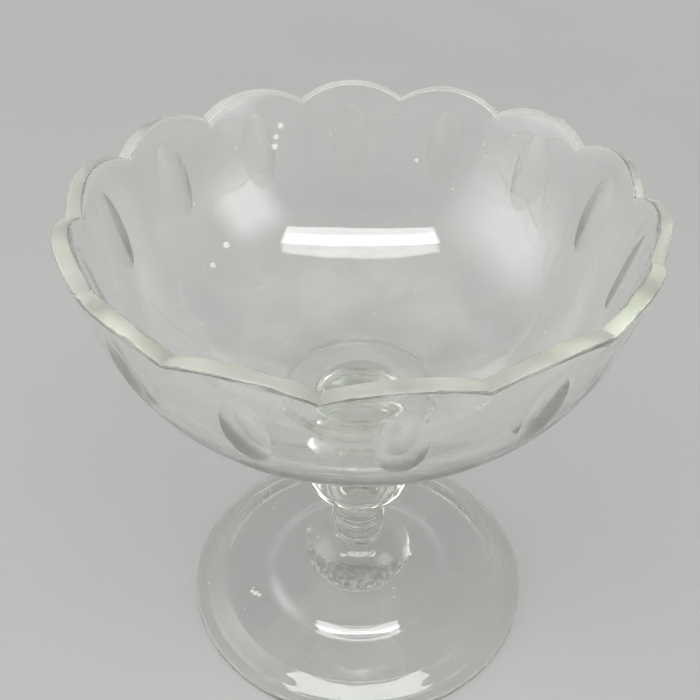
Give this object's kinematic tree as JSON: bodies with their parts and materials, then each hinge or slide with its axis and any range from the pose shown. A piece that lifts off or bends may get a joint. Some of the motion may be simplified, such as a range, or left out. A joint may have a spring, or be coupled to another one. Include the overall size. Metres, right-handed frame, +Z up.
{
  "type": "footed glass bowl",
  "caption": "Deep clear glass bowl with a scalloped rim and lens cuts, on a knopped and ringed stem over a low stepped round foot.",
  "frame": {"origin": "centre of the foot, in the plane that it rests on", "axes": "+Z up along the stem, +X to the right and +Y away from the picture's viewer"},
  "size_m": [0.1786, 0.179, 0.1724],
  "materials": {
    "bowl_glass": "clear fire-polished glass with a faint grey-green cast, satin ground rim and cut lenses",
    "stem_glass": "thick clear glass with seeds and a wavy surface",
    "foot_glass": "clear glass, worn to a matt ring where it rests"
  },
  "bodies": {
    "root": {"foot": "foot_glass", "lower_knop": "stem_glass", "ringed_collar": "stem_glass", "upper_knop": "stem_glass", "neck": "stem_glass", "merese": "stem_glass", "bowl": "bowl_glass"}
  },
  "joints": []
}
